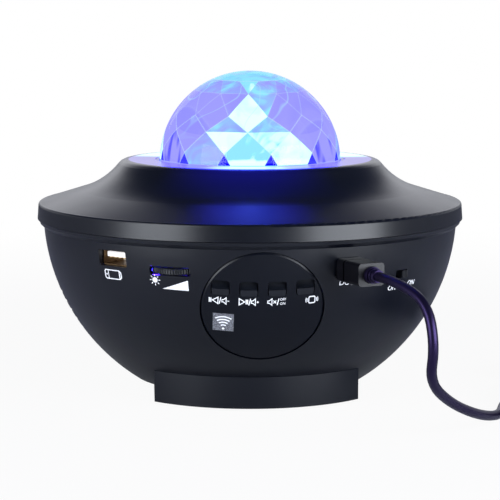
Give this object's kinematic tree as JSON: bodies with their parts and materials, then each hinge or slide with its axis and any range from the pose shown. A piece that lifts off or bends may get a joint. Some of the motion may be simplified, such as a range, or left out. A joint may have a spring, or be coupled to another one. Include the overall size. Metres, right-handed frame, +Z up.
{
  "type": "star night light projector",
  "caption": "Bowl-shaped night light projector: faceted clear dome, sloping brim, tilted panel of press keys, dial, slide switch, side speaker and supply cable.",
  "frame": {"origin": "on the bowl's axis, on the surface that the rubber feet stand on", "axes": "+Z up along the bowl's axis; the control panel faces -Y; +X is to the right seen from the panel's side"},
  "size_m": [0.2385, 0.2109, 0.1247],
  "materials": {
    "case_plastic": "fine satin moulding texture",
    "panel_plastic": "satin with printed white icons",
    "key_plastic": "satin",
    "clear_plastic": "polished clear",
    "clear_disc": "polished clear, rippled",
    "white_plastic": "plain moulded",
    "black_plastic": "plain moulded",
    "rubber_pad": "matt",
    "foam": "soft foam",
    "screw_steel": "zinc plated",
    "port_steel": "nickel plated",
    "contact_brass": "gold plated",
    "board": "solder mask",
    "chip": "moulded resin",
    "magnet": "sintered, plated plates",
    "basket": "pressed steel, black",
    "paper_cone": "coated paper",
    "heat_aluminium": "extruded",
    "barrel_brass": "turned",
    "gear_plastic": "acetal",
    "motor_steel": "drawn can",
    "grating_film": "etched film",
    "lamp_resin": "clear resin",
    "cable_jacket": "smooth jacket",
    "plug_body": "moulded, fine grain",
    "dial_plastic": "ribbed"
  },
  "bodies": {
    "case": {"lower_housing": "case_plastic", "top_cover": "case_plastic", "base_foot": "case_plastic", "rubber_feet": "rubber_pad", "foot_screws": "screw_steel", "case_screws": "screw_steel", "dome_lens": "clear_plastic", "dome_retaining_ring": "black_plastic", "dome_ring_screws": "screw_steel", "control_panel": "panel_plastic", "button_board": "board", "tact_switches": "chip", "infrared_receiver": "chip", "panel_screws": "screw_steel", "main_board": "board", "board_screws": "screw_steel", "board_parts": "chip", "usb_socket_shell": "port_steel", "usb_socket_tongue": "white_plastic", "usb_contacts": "contact_brass", "dial_potentiometer": "chip", "power_socket": "port_steel", "power_switch_body": "chip", "speaker_gasket": "foam", "speaker_frame": "basket", "speaker_magnet": "magnet", "speaker_surround": "foam", "light_deck": "black_plastic", "pivot_pin": "motor_steel", "gear_motor": "motor_steel", "motor_screws": "screw_steel", "heat_sink": "heat_aluminium", "led_board": "board", "led_emitters": "lamp_resin", "collimator_lens": "lamp_resin", "laser_holder": "heat_aluminium", "laser_module": "barrel_brass", "star_grating": "grating_film", "power_plug": "plug_body", "power_plug_tip": "port_steel", "plug_strain_relief": "cable_jacket", "power_cable": "cable_jacket", "cable_coil": "cable_jacket", "cable_tie": "black_plastic", "usb_plug_grip": "plug_body", "usb_plug_shell": "port_steel", "usb_plug_tongue": "white_plastic"},
    "previous_key": {"previous_key": "key_plastic"},
    "next_key": {"next_key": "key_plastic"},
    "mute_key": {"mute_key": "key_plastic"},
    "mode_key": {"mode_key": "key_plastic"},
    "dial": {"brightness_dial": "dial_plastic"},
    "switch_slider": {"power_switch_slider": "key_plastic"},
    "cone": {"speaker_cone": "paper_cone"},
    "disc": {"wave_disc": "clear_disc"},
    "drive": {"drive_pinion": "gear_plastic", "motor_shaft": "motor_steel"}
  },
  "joints": [
    {"name": "previous_key_press", "type": "slide", "parent": "case", "child": "previous_key", "axis": [0, 0.9306, 0.3661], "range_m": [0, 0.0006], "stiffness_N_per_m": 300},
    {"name": "next_key_press", "type": "slide", "parent": "case", "child": "next_key", "axis": [0, 0.9306, 0.3661], "range_m": [0, 0.0006], "stiffness_N_per_m": 300},
    {"name": "mute_key_press", "type": "slide", "parent": "case", "child": "mute_key", "axis": [0, 0.9306, 0.3661], "range_m": [0, 0.0006], "stiffness_N_per_m": 300},
    {"name": "mode_key_press", "type": "slide", "parent": "case", "child": "mode_key", "axis": [0, 0.9306, 0.3661], "range_m": [0, 0.0006], "stiffness_N_per_m": 300},
    {"name": "dial_turn", "type": "hinge", "parent": "case", "child": "dial", "pos_m": [-0.03015, -0.06647, 0.0554], "axis": [0, 0, 1], "range_deg": [-135, 135]},
    {"name": "switch_slide", "type": "slide", "parent": "case", "child": "switch_slider", "axis": [-0.7547, -0.6561, 0], "range_m": [0, 0.0025]},
    {"name": "cone_travel", "type": "slide", "parent": "case", "child": "cone", "axis": [-0.8706, 0, -0.4921], "range_m": [-0.0008, 0.0008], "stiffness_N_per_m": 900},
    {"name": "disc_turn", "type": "hinge", "parent": "case", "child": "disc", "pos_m": [0, 0, 0.0775], "axis": [0, 0, 1], "continuous": true},
    {"name": "pinion_turn", "type": "hinge", "parent": "case", "child": "drive", "pos_m": [0, 0.0375, 0.0775], "axis": [0, 0, 1], "continuous": true}
  ],
  "couplings": [
    {"joint": "pinion_turn", "follows": "disc_turn", "ratio": -4}
  ]
}
